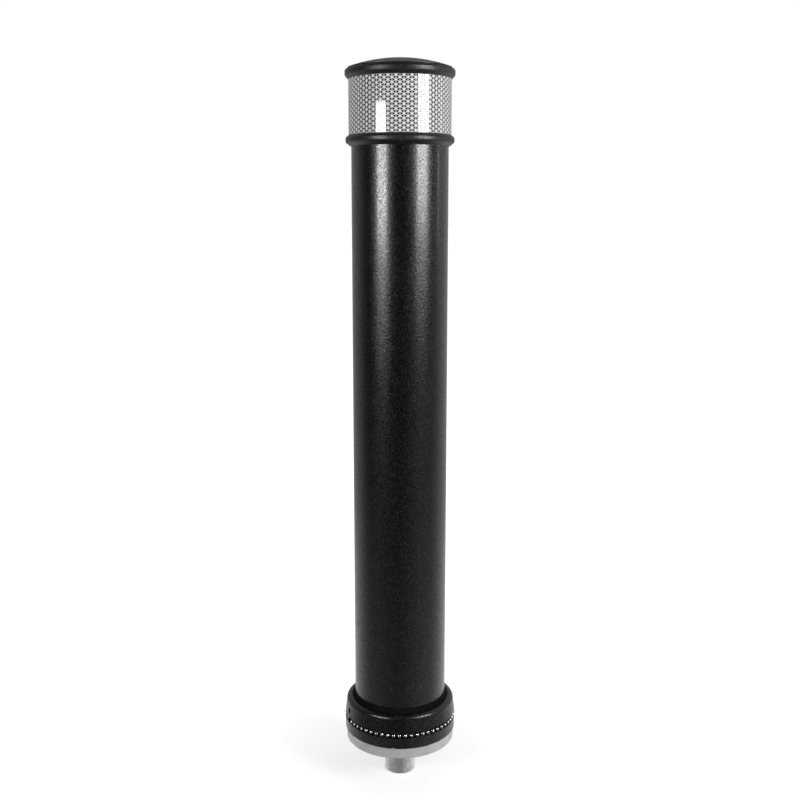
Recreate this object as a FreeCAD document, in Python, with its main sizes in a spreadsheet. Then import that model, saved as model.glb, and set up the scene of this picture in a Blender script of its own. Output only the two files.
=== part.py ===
import FreeCAD, Part

import math
import os
from types import SimpleNamespace

import Sketcher

# Retractable bollard: a lift-up steel post that slides down through a fixed ground ring.
#
# Frame: millimetres, +Z up, origin on the post's axis in the plane of the ground plate's underside.
# The front of the object faces -Y. Angles in the sheet are measured anticlockwise from +X.
# The object is drawn raised, with the three lugs at the foot of the post over the notches of the
# ground ring, so the post can drop; turning it by turn_range puts the lugs on the ledges instead.

doc = FreeCAD.newDocument("RetractableBollard")
AXIS_Z = FreeCAD.Vector(0, 0, 1)

# ---------------------------------------------------------------------------------------------
# Driving dimensions
# ---------------------------------------------------------------------------------------------

DRIVING = {
    # post
    "tube_radius": 50.8,
    "tube_wall": 3.2,
    "tube_length": 618.3,
    "lug_reach": 4.2,
    "lug_count": 3,
    "lug_width_angle": 28.0,
    "lug_core_gap": 0.3,
    "lug_spigot_length": 20.0,
    "lug_spigot_wall": 7.5,
    "plug_flange_height": 6.0,
    "plug_hub_height": 22.7,
    # foot that slides without turning
    "spigot_wall": 4.2,
    "spigot_drop": 42.6,
    "spigot_web_height": 16.0,
    "foot_flange_radius": 30.0,
    "foot_flange_height": 6.0,
    "groove_width": 4.4,
    "groove_depth": 0.8,
    "groove_length": 50.0,
    "groove_angle": -90.0,
    "thrust_washer_thickness": 3.7,
    "rod_bush_wall": 1.4,
    # tie rod and its fasteners
    "rod_radius": 6.0,
    "rod_stub": 35.0,
    "lower_nut_height": 12.0,
    "upper_nut_height": 10.8,
    "lower_washer_rim": 6.0,
    "upper_washer_radius": 18.0,
    "washer_thickness": 2.5,
    "rod_tail": 3.2,
    # ground ring
    "plate_step": 1.5,
    "plate_height": 12.0,
    "base_height": 12.2,
    "ledge_height": 8.0,
    "hub_wall": 2.5,
    "collar_height": 18.3,
    "collar_draft": 1.6,
    "rim_rounding": 5.0,
    "seal_width": 2.2,
    "neck_height": 6.3,
    "neck_shelf": 1.5,
    "edge_radius": 1.2,
    "edge_chamfer": 0.5,
    "seam_angle": -66.0,
    "seam_width_angle": 0.9,
    "seam_depth": 0.6,
    "pry_notch_angle": -97.0,
    "pry_notch_width_angle": 3.7,
    "pry_notch_height": 1.5,
    "bush_height": 2.5,
    "wiper_lip_height": 5.2,
    "wiper_lip_thickness": 0.5,
    "wiper_lip_land": 1.0,
    "lip_notch_angle": -67.0,
    "lip_notch_width_angle": 1.6,
    "lip_notch_height": 1.2,
    # casing bolts and the ring's own screws
    "bolt_count": 6,
    "bolt_inset": 4.4,
    "bolt_hole_radius": 2.75,
    "bolt_tap_radius": 2.1,
    "bolt_tap_floor": 2.0,
    "bolt_first_angle": 30.0,
    "screw_inset": 3.0,
    "screw_radius": 2.0,
    "screw_head_radius": 3.5,
    "screw_head_height": 3.8,
    "screw_recess": 0.5,
    "screw_grip": 8.3,
    "screw_socket_width": 2.5,
    "screw_offset_angle": 75.0,
    # reflector beads
    "bead_radius": 2.2,
    "bead_stand": 0.5,
    "bead_room": 2.4,
    "bead_drop": 0.6,
    "bead_places": 58,
    "bead_skipped": 3,
    "strip_thickness": 0.75,
    "strip_margin": 0.2,
    "strip_turn": -6.0,
    "strip_screw_head_height": 2.2,
    "strip_screw_radius": 1.25,
    "strip_screw_setback": 0.25,
    "strip_screw_socket_width": 1.75,
    # side lock
    "lock_angle": -159.0,
    "lock_drop": 5.6,
    "lock_hole_radius": 3.1,
    "lock_travel": 3.0,
    "lock_tip_length": 2.0,
    "lock_screw_length": 2.6,
    "lock_socket_width": 2.5,
    "lock_socket_depth": 1.4,
    "turn_range": 45.0,
    # head
    "skirt_length": 34.0,
    "skirt_wall": 4.5,
    "web_thickness": 8.0,
    "socket_depth": 4.0,
    "flange_reach": 5.9,
    "upper_flange_reach": 6.3,
    "lower_flange_height": 11.0,
    "upper_flange_height": 9.6,
    "flange_underside_rise": 3.0,
    "flange_corner_height": 2.0,
    "flange_shoulder_height": 1.8,
    "flange_rounding": 3.6,
    "barrel_step": 2.1,
    "barrel_height": 57.0,
    "barrel_wall": 5.9,
    "band_thickness": 0.4,
    "band_margin": 0.6,
    "band_gap_angle": 0.5,
    "band_seam_angle": -10.0,
    "gasket_thickness": 0.8,
    "dome_setback": 2.5,
    "dome_edge": 0.4,
    "dome_rise": 9.3,
    "dome_wall": 3.5,
    "dome_boss_radius": 8.0,
    "dome_spigot_wall": 3.3,
    "dome_spigot_length": 12.1,
    "crown_screw_radius": 2.5,
    "crown_screw_head_radius": 4.0,
    "crown_screw_head_height": 2.6,
    "crown_screw_proud": 1.0,
    "crown_screw_grip": 14.0,
    "crown_socket_width": 2.5,
    # clearances
    "running_gap": 0.3,
    "slide_gap": 0.15,
    "fit_gap": 0.1,
    "thread_gap": 0.05,
    "bore_gap": 0.8,
    "washer_gap": 1.0,
    "rest_gap": 0.5,
    "overcut": 1.0,
    "sweep_gap": 0.6,
    "sweep_angle": 2.0,
    "notch_angle_gap": 3.0,
}

sheet = doc.addObject("Spreadsheet::Sheet", "Sheet")
for row, (alias, number) in enumerate(DRIVING.items(), start=1):
    sheet.set(f"A{row}", alias)
    sheet.set(f"B{row}", str(number))
    sheet.setAlias(f"B{row}", alias)
doc.recompute()


class Dim:
    """A size that knows both its number and the sheet expression that gives it."""

    def __init__(self, value, text):
        self.value = float(value)
        self.text = text

    @staticmethod
    def of(other):
        """Return other as a Dim, whether it is one already or a plain number."""
        return other if isinstance(other, Dim) else Dim(other, str(other))

    def __add__(self, other):
        other = Dim.of(other)
        return Dim(self.value + other.value, f"({self.text} + {other.text})")

    def __sub__(self, other):
        other = Dim.of(other)
        return Dim(self.value - other.value, f"({self.text} - {other.text})")

    def __mul__(self, other):
        other = Dim.of(other)
        return Dim(self.value * other.value, f"({self.text} * {other.text})")

    def __truediv__(self, other):
        other = Dim.of(other)
        return Dim(self.value / other.value, f"({self.text} / {other.text})")

    def __neg__(self):
        return Dim(-self.value, f"(0 - {self.text})")

    def root(self):
        """Return the square root of this size."""
        return Dim(math.sqrt(self.value), f"sqrt({self.text})")

    def cosine(self):
        """Return the cosine of this angle in degrees."""
        return Dim(math.cos(math.radians(self.value)), f"cos({self.text} * 1deg)")

    def sine(self):
        """Return the sine of this angle in degrees."""
        return Dim(math.sin(math.radians(self.value)), f"sin({self.text} * 1deg)")


ZERO = Dim(0, "0")
size = SimpleNamespace(**{name: Dim(sheet.get(name), f"Sheet.{name}") for name in DRIVING})

# ---------------------------------------------------------------------------------------------
# Derived radii and levels
# ---------------------------------------------------------------------------------------------

tube_bore = size.tube_radius - size.tube_wall
ledge_bore = size.tube_radius + size.bore_gap
lug_radius = size.tube_radius + size.lug_reach
chamber_radius = lug_radius + size.sweep_gap
lug_core_radius = size.tube_radius - size.lug_core_gap
lug_spigot_radius = tube_bore - size.fit_gap
lug_bore_radius = lug_spigot_radius - size.lug_spigot_wall
half_lug = size.lug_width_angle / 2
half_notch = half_lug + size.notch_angle_gap
notch_direction = size.lock_angle - size.turn_range
strip_angle = size.lock_angle + size.strip_turn

hub_radius = chamber_radius + size.hub_wall
bead_ring_radius = hub_radius + size.bead_radius
base_radius = bead_ring_radius + size.bead_radius - size.bead_stand
plate_radius = base_radius - size.plate_step
shoulder_radius = base_radius - size.collar_draft
rim_inner_radius = ledge_bore + size.seal_width
bolt_circle_radius = ledge_bore + size.bolt_inset
screw_circle_radius = ledge_bore + size.screw_inset

lower_washer_radius = size.rod_radius + size.lower_washer_rim
spigot_bore = lower_washer_radius + size.washer_gap
spigot_radius = spigot_bore + size.spigot_wall
nut_across_flats = size.rod_radius * 3

base_level = size.plate_height
ledge_level = base_level + size.ledge_height
groove_level = base_level + size.base_height
groove_height = size.bead_radius * 2 + size.bead_room
collar_level = groove_level + groove_height
rim_level = collar_level + size.collar_height
neck_level = rim_level - size.neck_height
bush_level = neck_level + size.neck_shelf
seal_level = bush_level + size.bush_height
lip_level = rim_level + size.wiper_lip_height
lock_level = neck_level - size.lock_drop
bead_level = groove_level + groove_height / 2 - size.bead_drop
strip_screw_head_radius = bead_level - groove_level - size.fit_gap
strip_screw_length = size.strip_thickness + size.hub_wall - size.strip_screw_setback
screw_seat = size.screw_recess + size.screw_head_height
screw_end = collar_level + size.screw_grip

lug_foot = ledge_level + size.running_gap
lug_top = neck_level - size.running_gap
plug_seat = lug_top + size.lug_spigot_length
hub_foot = plug_seat - size.plug_hub_height
washer_top = hub_foot - size.running_gap
foot_flange_top = washer_top - size.thrust_washer_thickness
web_foot = foot_flange_top - size.spigot_web_height
lower_washer_top = web_foot - size.running_gap
lower_nut_top = lower_washer_top - size.washer_thickness
lower_nut_foot = lower_nut_top - size.lower_nut_height
rod_foot = lower_nut_foot - size.rod_tail

flange_radius = size.tube_radius + size.flange_reach
upper_flange_radius = size.tube_radius + size.upper_flange_reach
barrel_radius = size.tube_radius + size.barrel_step
dome_radius = flange_radius - size.dome_setback
head_bore = barrel_radius - size.barrel_wall
skirt_radius = tube_bore - size.fit_gap

tube_top = lug_top + size.tube_length
head_foot = tube_top - size.socket_depth
web_top = tube_top + size.web_thickness
upper_nut_foot = web_top + size.washer_thickness
rod_top = web_top + size.rod_stub
lower_flange_top = head_foot + size.lower_flange_height
upper_flange_foot = lower_flange_top + size.barrel_height
upper_flange_top = upper_flange_foot + size.upper_flange_height
dome_foot = upper_flange_top + size.gasket_thickness
dome_shoulder = dome_foot + size.dome_edge
dome_top = dome_shoulder + size.dome_rise
dome_sphere = (dome_radius * dome_radius + size.dome_rise * size.dome_rise) / (size.dome_rise * 2)
crown_hole = size.crown_screw_head_radius + size.running_gap
crown_top = dome_top + size.crown_screw_proud
crown_seat = crown_top - size.crown_screw_head_height

# ---------------------------------------------------------------------------------------------
# Sketch and feature helpers
# ---------------------------------------------------------------------------------------------


def new_body(label, turn=None):
    """Start a PartDesign body, turned about Z by the angle turn if one is given."""
    body = doc.addObject("PartDesign::Body", label)
    body.Label = label
    if turn is not None:
        body.setExpression("Placement.Rotation.Angle", turn.text)
    return body


def new_sketch(body, role, level=None, turn=None):
    """Attach a sketch to one of the body's origin planes.

    level lifts the sketch along the plane's normal. turn swings an upright sketch about Z; an
    XZ_Plane sketch faces -Y before it is swung.
    """
    sketch = body.newObject("Sketcher::SketchObject", f"{body.Name}_sketch")
    plane = [item for item in body.Origin.OriginFeatures if item.Role == role][0]
    sketch.AttachmentSupport = [(plane, "")]
    sketch.MapMode = "FlatFace"
    if level is not None:
        sketch.setExpression("AttachmentOffset.Base.z", level.text)
    if turn is not None:
        swing = FreeCAD.Rotation(FreeCAD.Vector(0, 1, 0), turn.value)
        sketch.AttachmentOffset = FreeCAD.Placement(FreeCAD.Vector(), swing)
        sketch.setExpression("AttachmentOffset.Rotation.Angle", turn.text)
    return sketch


def constrain(sketch, kind, places, dim):
    """Add a dimensional constraint and bind its value to the dim's expression."""
    index = sketch.addConstraint(Sketcher.Constraint(kind, *places, dim.value))
    sketch.setExpression(f"Constraints[{index}]", dim.text)


def place_point(sketch, geometry, point, x, y):
    """Tie one point of a sketch to the coordinates x and y."""
    if x.text == "0":
        sketch.addConstraint(Sketcher.Constraint("PointOnObject", geometry, point, -2))
    else:
        constrain(sketch, "DistanceX", (-1, 1, geometry, point), x)
    if y.text == "0":
        sketch.addConstraint(Sketcher.Constraint("PointOnObject", geometry, point, -1))
    else:
        constrain(sketch, "DistanceY", (-1, 1, geometry, point), y)


def arc_between(start, end, radius, turn_left):
    """Return the minor arc from start to end that bends to the given side."""
    chord = end - start
    middle = (start + end) * 0.5
    left = FreeCAD.Vector(-chord.y, chord.x, 0).normalize()
    reach = math.sqrt(max(radius * radius - chord.Length**2 / 4, 0))
    centre = middle + left * (reach if turn_left else -reach)
    first, last = (start, end) if turn_left else (end, start)
    angles = [math.atan2(spot.y - centre.y, spot.x - centre.x) for spot in (first, last)]
    if angles[1] < angles[0]:
        angles[1] += 2 * math.pi
    return Part.ArcOfCircle(Part.Circle(centre, AXIS_Z, radius), *angles)


def draw_outline(sketch, corners):
    """Draw a closed outline through the corners.

    A corner is (x, y), or (x, y, radius, "left" or "right") where an arc runs on to the next one.
    """
    spots = [FreeCAD.Vector(corner[0].value, corner[1].value, 0) for corner in corners]
    starts = []
    ends = []
    for index, corner in enumerate(corners):
        here = spots[index]
        there = spots[(index + 1) % len(corners)]
        if len(corner) == 2:
            geometry = sketch.addGeometry(Part.LineSegment(here, there), False)
            starts.append((geometry, 1))
            ends.append((geometry, 2))
            continue
        left = corner[3] == "left"
        geometry = sketch.addGeometry(arc_between(here, there, corner[2].value, left), False)
        starts.append((geometry, 1 if left else 2))
        ends.append((geometry, 2 if left else 1))
    for index, corner in enumerate(corners):
        previous = ends[index - 1]
        sketch.addConstraint(Sketcher.Constraint("Coincident", *previous, *starts[index]))
        place_point(sketch, *starts[index], corner[0], corner[1])
    for index, corner in enumerate(corners):
        if len(corner) == 4:
            constrain(sketch, "Radius", (starts[index][0],), corner[2])


def draw_circle(sketch, x, y, radius):
    """Draw a circle about (x, y)."""
    centre = FreeCAD.Vector(x.value, y.value, 0)
    geometry = sketch.addGeometry(Part.Circle(centre, AXIS_Z, radius.value), False)
    place_point(sketch, geometry, 3, x, y)
    constrain(sketch, "Radius", (geometry,), radius)


def polar(radius, angle):
    """Return the x and y of a point at this radius and angle."""
    return radius * angle.cosine(), radius * angle.sine()


def draw_sector(sketch, inner, outer, start, end):
    """Draw a piece of a ring about the sketch's origin, from the angle start to the angle end."""
    corners = [
        (*polar(inner, start),),
        (*polar(outer, start), outer, "left"),
        (*polar(outer, end),),
        (*polar(inner, end), inner, "right"),
    ]
    draw_outline(sketch, corners)


def draw_box(sketch, left, right, bottom, top):
    """Draw a rectangle."""
    draw_outline(sketch, [(left, bottom), (right, bottom), (right, top), (left, top)])


def draw_hexagon(sketch, across_flats, x=ZERO, y=ZERO):
    """Draw a hexagon about (x, y) with two flats facing the sketch's X."""
    corners = []
    for angle in range(30, 360, 60):
        across, up = polar(across_flats / math.sqrt(3), Dim(angle, str(angle)))
        corners.append((x + across, y + up))
    draw_outline(sketch, corners)


def revolve(body, corners, role="XZ_Plane", turn=None, angle=None):
    """Turn an outline of radii and levels about Z into a solid."""
    sketch = new_sketch(body, role, turn=turn)
    draw_outline(sketch, corners)
    feature = body.newObject("PartDesign::Revolution", f"{body.Name}_revolution")
    feature.Profile = sketch
    feature.ReferenceAxis = (sketch, ["V_Axis"])
    feature.Angle = 360
    if angle is not None:
        feature.setExpression("Angle", angle.text)
    finish_feature(body, feature, sketch)
    return feature


def finish_feature(body, feature, sketch):
    """Make the feature the body's tip and hide its sketch from the outcome."""
    body.Tip = feature
    sketch.Visibility = False
    doc.recompute()


def extrude(body, kind, sketch, length, outwards):
    """Pad or pocket a sketch; outwards sends it along the sketch plane's normal."""
    before = body.Shape.Volume if body.Shape and not body.Shape.isNull() else 0.0
    feature = body.newObject(f"PartDesign::{kind}", f"{body.Name}_{kind.lower()}")
    feature.Profile = sketch
    feature.Length = length.value
    feature.setExpression("Length", length.text)
    feature.Reversed = outwards if kind == "Pocket" else not outwards
    finish_feature(body, feature, sketch)
    after = body.Shape.Volume
    if kind == "Pocket" and not after < before - 1e-6:
        raise RuntimeError(f"{feature.Name} cuts nothing")
    if kind == "Pad" and not after > before + 1e-6:
        raise RuntimeError(f"{feature.Name} adds nothing")
    return feature


def pattern(body, feature, count, angle=None, axis="N_Axis"):
    """Repeat a feature about Z, evenly round the circle or over the given angle."""
    polar_pattern = body.newObject("PartDesign::PolarPattern", f"{body.Name}_pattern")
    polar_pattern.Originals = [feature]
    polar_pattern.Axis = (feature.Profile[0], [axis])
    polar_pattern.Angle = 360
    if angle is not None:
        polar_pattern.setExpression("Angle", angle.text)
    polar_pattern.Occurrences = int(count)
    before = body.Shape.Volume
    finish_feature(body, polar_pattern, feature.Profile[0])
    if abs(body.Shape.Volume - before) < 1e-6:
        raise RuntimeError(f"{polar_pattern.Name} repeats nothing")
    return polar_pattern


def bolt_holes(body, radius, depth, level=ZERO):
    """Bore the holes for the casing bolts upwards from the given level."""
    sketch = new_sketch(body, "XY_Plane", level=level)
    draw_circle(sketch, *polar(bolt_circle_radius, size.bolt_first_angle), radius)
    hole = extrude(body, "Pocket", sketch, depth, outwards=True)
    pattern(body, hole, size.bolt_count.value)


def screw_holes(body, radius, depth, level=ZERO):
    """Bore the holes for the ring's own screws upwards from the given level."""
    sketch = new_sketch(body, "XY_Plane", level=level)
    draw_circle(sketch, *polar(screw_circle_radius, size.screw_offset_angle), radius)
    hole = extrude(body, "Pocket", sketch, depth, outwards=True)
    pattern(body, hole, size.lug_count.value)


def notches(body, level, height):
    """Cut the notches that let the lugs through."""
    sketch = new_sketch(body, "XY_Plane", level=level)
    draw_sector(sketch, tube_bore, chamber_radius, -half_notch, half_notch)
    notch = extrude(body, "Pocket", sketch, height, outwards=True)
    pattern(body, notch, size.lug_count.value)


def lug_chamber(body, level, height):
    """Clear the sectors that the lugs sweep, leaving a stop between each two."""
    sketch = new_sketch(body, "XY_Plane", level=level)
    start = -half_lug - size.sweep_angle
    end = half_lug + size.turn_range + size.sweep_angle
    draw_sector(sketch, tube_bore, chamber_radius, start, end)
    sweep = extrude(body, "Pocket", sketch, height, outwards=True)
    pattern(body, sweep, size.lug_count.value)


def radial_sketch(body, angle, inner):
    """Stand a sketch square to the direction angle, at the inner radius from the axis."""
    sketch = new_sketch(body, "XZ_Plane", turn=angle + 90)
    if inner.text != "0":
        sketch.setExpression("AttachmentOffset.Base.x", (inner * angle.cosine()).text)
        sketch.setExpression("AttachmentOffset.Base.z", (-(inner * angle.sine())).text)
    return sketch


def side_hole(body, angle, level, radius, inner=ZERO, depth=None):
    """Bore a round hole outwards along the direction angle, from the inner radius on."""
    sketch = radial_sketch(body, angle, inner)
    draw_circle(sketch, ZERO, level, radius)
    reach = depth if depth is not None else base_radius + size.overcut
    return extrude(body, "Pocket", sketch, reach, outwards=True)


def plain_ring(label, inner, outer, foot, top, turn=None):
    """Make a plain ring between two radii and two levels."""
    body = new_body(label, turn)
    revolve(body, [(inner, foot), (outer, foot), (outer, top), (inner, top)])
    return body


def stand_radially(body, radius, angle, level):
    """Lay a body drawn along Z on a radial line, with its Z pointing outwards."""
    direction = FreeCAD.Vector(math.cos(math.radians(angle)), math.sin(math.radians(angle)), 0)
    place = direction * radius + AXIS_Z * level
    body.Placement = FreeCAD.Placement(place, FreeCAD.Rotation(AXIS_Z, direction))


# ---------------------------------------------------------------------------------------------
# Ground ring
# ---------------------------------------------------------------------------------------------


def make_ground_plate():
    """Zinc-coloured plate that sits on the casing's flange."""
    body = new_body("ground_plate", notch_direction)
    chamfer = size.edge_chamfer
    corners = [
        (ledge_bore, ZERO),
        (plate_radius - chamfer, ZERO),
        (plate_radius, chamfer),
        (plate_radius, base_level),
        (ledge_bore, base_level),
    ]
    revolve(body, corners)
    notches(body, ZERO, size.plate_height)
    bolt_holes(body, size.bolt_hole_radius, size.plate_height)
    screw_holes(body, size.screw_radius + size.slide_gap, size.plate_height)
    screw_holes(body, size.screw_head_radius + size.running_gap, screw_seat)
    return body


def make_base_ring():
    """Lower half of the black ring, with the ledges that carry the lugs."""
    body = new_body("base_ring", notch_direction)
    chamfer = size.edge_chamfer
    corners = [
        (ledge_bore, base_level),
        (base_radius - chamfer, base_level),
        (base_radius, base_level + chamfer),
        (base_radius, groove_level - chamfer),
        (base_radius - chamfer, groove_level),
        (hub_radius, groove_level),
        (hub_radius, collar_level),
        (ledge_bore, collar_level),
    ]
    revolve(body, corners)
    lug_chamber(body, ledge_level, collar_level - ledge_level)
    notches(body, base_level, size.ledge_height)
    bolt_holes(body, size.bolt_tap_radius, size.ledge_height - size.bolt_tap_floor, base_level)
    screw_holes(body, size.screw_radius + size.slide_gap, collar_level - base_level, base_level)
    side_hole(body, strip_angle - notch_direction, bead_level, size.strip_screw_radius + size.thread_gap)
    pry = new_sketch(body, "XY_Plane", level=base_level)
    centre = size.pry_notch_angle - notch_direction
    half = size.pry_notch_width_angle / 2
    outer = base_radius + size.overcut
    draw_sector(pry, plate_radius - size.overcut, outer, centre - half, centre + half)
    extrude(body, "Pocket", pry, size.pry_notch_height, outwards=True)
    return body


def make_collar():
    """Upper half of the black ring: drafted wall, rounded rim, neck shelf and side lock hole."""
    body = new_body("collar", notch_direction)
    rounding = size.rim_rounding
    corners = [
        (ledge_bore, collar_level),
        (base_radius, collar_level),
        (shoulder_radius, rim_level - rounding, rounding, "left"),
        (shoulder_radius - rounding, rim_level),
        (rim_inner_radius + size.edge_chamfer, rim_level),
        (rim_inner_radius, rim_level - size.edge_chamfer),
        (rim_inner_radius, bush_level),
        (ledge_bore, bush_level),
    ]
    revolve(body, corners)
    lug_chamber(body, collar_level, neck_level - collar_level)
    tap_depth = size.screw_grip + size.running_gap
    screw_holes(body, size.screw_radius + size.thread_gap, tap_depth, collar_level)
    side_hole(body, size.turn_range, lock_level, size.lock_hole_radius)
    cut_seam(body, rim_level - rounding)
    return body


def cut_seam(body, top):
    """Score the vertical joint line down the collar's drafted wall."""
    sketch = new_sketch(body, "XZ_Plane", turn=size.seam_angle - notch_direction)
    depth = size.seam_depth
    corners = [
        (base_radius - depth, collar_level),
        (base_radius + depth, collar_level),
        (shoulder_radius + depth, top),
        (shoulder_radius - depth, top),
    ]
    draw_outline(sketch, corners)
    before = body.Shape.Volume
    groove = body.newObject("PartDesign::Groove", "collar_seam")
    groove.Profile = sketch
    groove.ReferenceAxis = (sketch, ["V_Axis"])
    groove.setExpression("Angle", size.seam_width_angle.text)
    groove.Midplane = True
    finish_feature(body, groove, sketch)
    if not body.Shape.Volume < before - 1e-6:
        raise RuntimeError("the collar's seam cuts nothing")


def make_wiper_seal():
    """Rubber ring on the guide bush, whose conical lip wipes the tube and has a drain notch."""
    body = new_body("wiper_seal")
    outer = rim_inner_radius - size.thread_gap
    touch = size.tube_radius + size.fit_gap
    lip_outer = touch + size.wiper_lip_thickness
    root = ledge_bore - size.fit_gap
    corners = [
        (root, seal_level),
        (outer, seal_level),
        (outer, rim_level),
        (lip_outer, lip_level),
        (touch, lip_level),
        (touch, lip_level - size.wiper_lip_land),
        (root, rim_level),
    ]
    revolve(body, corners)
    sketch = new_sketch(body, "XY_Plane", level=lip_level - size.lip_notch_height)
    half = size.lip_notch_width_angle / 2
    start = size.lip_notch_angle - half
    end = size.lip_notch_angle + half
    draw_sector(sketch, size.tube_radius, lip_outer + size.overcut, start, end)
    extrude(body, "Pocket", sketch, size.lip_notch_height, outwards=True)
    return body


def bead_spots():
    """Return the direction of each bead place round the groove, leaving the screw's places free."""
    places = int(size.bead_places.value)
    skipped = int(size.bead_skipped.value)
    step = 360.0 / places
    spots = []
    for number in range(places - skipped):
        angle = math.radians(strip_angle.value + step * ((skipped + 1) / 2 + number))
        spots.append(FreeCAD.Vector(math.cos(angle), math.sin(angle), 0))
    return spots


def make_bead_strip():
    """Thin band in the groove with one round seat for each bead and a hole for its screw."""
    ring = new_body("bead_strip_ring", strip_angle)
    inner = hub_radius + size.thread_gap
    outer = hub_radius + size.strip_thickness
    foot = groove_level + size.strip_margin
    top = collar_level - size.strip_margin
    revolve(ring, [(inner, foot), (outer, foot), (outer, top), (inner, top)])
    side_hole(ring, ZERO, bead_level, size.strip_screw_radius + size.slide_gap)
    proud = bead_ring_radius - outer
    seat = (size.bead_radius * size.bead_radius - proud * proud).root() + size.thread_gap
    drill_start = inner.value - size.overcut.value
    drill_length = bead_ring_radius.value - drill_start
    middle = AXIS_Z * bead_level.value
    drills = [
        Part.makeCylinder(seat.value, drill_length, middle + spot * drill_start, spot)
        for spot in bead_spots()
    ]
    seats = doc.addObject("Part::Feature", "bead_seats")
    seats.Shape = Part.makeCompound(drills)
    strip = doc.addObject("Part::Cut", "bead_strip")
    strip.Label = "bead_strip"
    strip.Base = ring
    strip.Tool = seats
    doc.recompute()
    if not strip.Shape.Volume < ring.Shape.Volume - 1e-6:
        raise RuntimeError("the bead seats cut nothing")
    return strip


def make_reflector_beads():
    """Round reflector beads, one at each place of the groove but the screw's."""
    middle = AXIS_Z * bead_level.value
    beads = [
        Part.makeSphere(size.bead_radius.value, middle + spot * bead_ring_radius.value)
        for spot in bead_spots()
    ]
    node = doc.addObject("Part::Feature", "reflector_beads")
    node.Label = "reflector_beads"
    node.Shape = Part.makeCompound(beads)
    return node


def make_screw(label, head_radius, head_height, shank_radius, shank_length, socket_width):
    """Make a cap screw along Z: head from 0 up, shank from 0 down, hexagon socket in the head."""
    body = new_body(label)
    bevel = size.edge_chamfer
    corners = [
        (ZERO, -shank_length),
        (shank_radius, -shank_length),
        (shank_radius, ZERO),
        (head_radius, ZERO),
        (head_radius, head_height - bevel),
        (head_radius - bevel, head_height),
        (ZERO, head_height),
    ]
    revolve(body, corners)
    sketch = new_sketch(body, "XY_Plane", level=head_height / 2)
    draw_hexagon(sketch, socket_width)
    extrude(body, "Pocket", sketch, head_height, outwards=True)
    return body


def make_strip_screw():
    """Small screw that holds the ends of the bead strip to the base ring."""
    body = make_screw(
        "strip_screw",
        strip_screw_head_radius,
        size.strip_screw_head_height,
        size.strip_screw_radius,
        strip_screw_length,
        size.strip_screw_socket_width,
    )
    seat = hub_radius.value + size.strip_thickness.value
    stand_radially(body, seat, strip_angle.value, bead_level.value)
    return body


def make_ring_screws():
    """Make the cap screws that clamp plate, base ring and collar together from below."""
    body = new_body("ring_screws", notch_direction)
    body.AllowCompound = True
    x, y = polar(screw_circle_radius, size.screw_offset_angle)
    head = new_sketch(body, "XY_Plane", level=size.screw_recess)
    draw_circle(head, x, y, size.screw_head_radius)
    heads = extrude(body, "Pad", head, size.screw_head_height, outwards=True)
    shank = new_sketch(body, "XY_Plane", level=screw_seat)
    draw_circle(shank, x, y, size.screw_radius)
    shanks = extrude(body, "Pad", shank, screw_end - screw_seat, outwards=True)
    socket = new_sketch(body, "XY_Plane", level=size.screw_recess)
    draw_hexagon(socket, size.screw_socket_width, x, y)
    sockets = extrude(body, "Pocket", socket, size.screw_head_height / 2, outwards=True)
    polar_pattern = body.newObject("PartDesign::PolarPattern", "ring_screws_pattern")
    polar_pattern.Originals = [heads, shanks, sockets]
    polar_pattern.Axis = (head, ["N_Axis"])
    polar_pattern.Angle = 360
    polar_pattern.Occurrences = int(size.lug_count.value)
    finish_feature(body, polar_pattern, head)
    return body


# ---------------------------------------------------------------------------------------------
# Side lock
# ---------------------------------------------------------------------------------------------


def make_lock_tip():
    """Brass pin, flush with the chamber wall when unlocked."""
    body = new_body("lock_tip")
    radius = size.lock_hole_radius - size.fit_gap
    revolve(body, [(ZERO, ZERO), (radius, ZERO), (radius, size.lock_tip_length),
                   (ZERO, size.lock_tip_length)])
    stand_radially(body, chamber_radius.value, size.lock_angle.value, lock_level.value)
    return body


def make_lock_screw():
    """Grub screw with a hexagon socket that drives the pin into the lug."""
    body = new_body("lock_screw")
    radius = size.lock_hole_radius - size.fit_gap
    revolve(body, [(ZERO, ZERO), (radius, ZERO), (radius, size.lock_screw_length),
                   (ZERO, size.lock_screw_length)])
    sketch = new_sketch(body, "XY_Plane", level=size.lock_screw_length - size.lock_socket_depth)
    draw_hexagon(sketch, size.lock_socket_width)
    extrude(body, "Pocket", sketch, size.lock_socket_depth, outwards=True)
    seat = chamber_radius.value + size.lock_tip_length.value + size.thread_gap.value
    stand_radially(body, seat, size.lock_angle.value, lock_level.value)
    return body


# ---------------------------------------------------------------------------------------------
# Foot
# ---------------------------------------------------------------------------------------------


def make_foot_spigot():
    """Grooved tube below the post that follows the casing's guide rail and doesn't turn."""
    body = new_body("foot_spigot")
    chamfer = size.edge_chamfer
    bottom = -size.spigot_drop
    bush_radius = size.rod_radius + size.fit_gap + size.rod_bush_wall + size.thread_gap
    flange_foot = foot_flange_top - size.foot_flange_height
    corners = [
        (spigot_bore, bottom),
        (spigot_radius - chamfer, bottom),
        (spigot_radius, bottom + chamfer),
        (spigot_radius, flange_foot),
        (size.foot_flange_radius, flange_foot),
        (size.foot_flange_radius, foot_flange_top),
        (bush_radius, foot_flange_top),
        (bush_radius, web_foot),
        (spigot_bore, web_foot),
    ]
    revolve(body, corners)
    half = size.groove_width / 2
    depth = size.groove_depth
    sketch = radial_sketch(body, size.groove_angle, spigot_radius - depth)
    draw_box(sketch, -half, half, bottom - size.overcut, bottom + size.groove_length)
    extrude(body, "Pocket", sketch, depth + size.overcut, outwards=True)
    return body


# ---------------------------------------------------------------------------------------------
# Post
# ---------------------------------------------------------------------------------------------


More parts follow.
